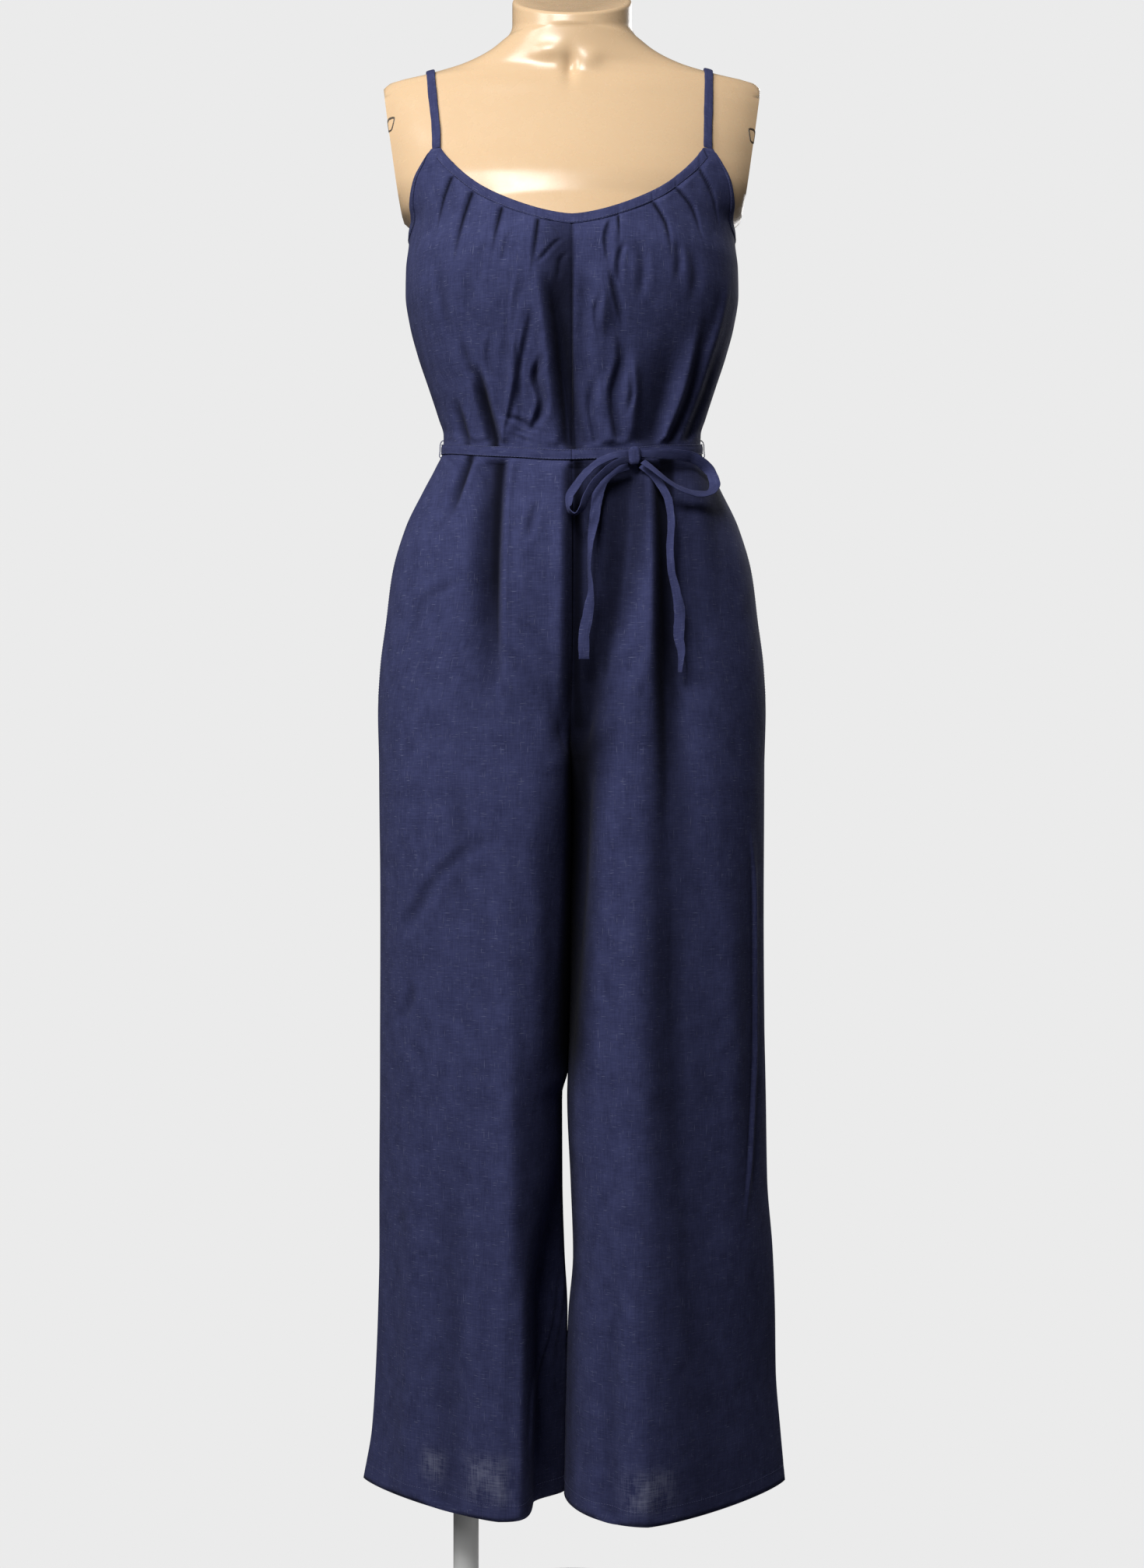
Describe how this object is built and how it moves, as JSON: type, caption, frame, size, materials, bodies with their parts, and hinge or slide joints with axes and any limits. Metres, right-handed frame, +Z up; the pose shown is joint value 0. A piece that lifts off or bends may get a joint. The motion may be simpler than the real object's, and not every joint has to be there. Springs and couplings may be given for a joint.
{
  "type": "jumpsuit on a dress form",
  "caption": "Wide-leg jumpsuit with thin straps, a pleated scoop neckline and a waist tie in a bow, worn by a limbless dress form on a pole with a round base plate.",
  "frame": {"origin": "on the floor, on the underside of the base plate, below the middle of the dress form", "axes": "+Z up, -Y towards the wearer's front, +X towards the wearer's left"},
  "size_m": [0.4194, 0.32, 1.6474],
  "materials": {
    "linen": "navy linen and viscose, plain weave with slubs, matt",
    "form": "beige moulded plastic, glossy",
    "stand": "steel, powder coated off-white, satin"
  },
  "bodies": {
    "root": {"bodice_front_left": "linen", "bodice_front_right": "linen", "bodice_back": "linen", "trouser_front_left": "linen", "trouser_front_right": "linen", "trouser_back_left": "linen", "trouser_back_right": "linen", "pocket_facing_left": "linen", "pocket_facing_right": "linen", "neckline_band_front": "linen", "neckline_band_back": "linen", "armhole_band_left": "linen", "armhole_band_right": "linen", "strap_left": "linen", "strap_right": "linen", "tie_band": "linen", "tie_knot": "linen", "tie_loop_left": "linen", "tie_loop_right": "linen", "tie_tail_left": "linen", "tie_tail_right": "linen", "form_torso": "form", "stand_pole": "stand", "stand_base": "stand"}
  },
  "joints": []
}
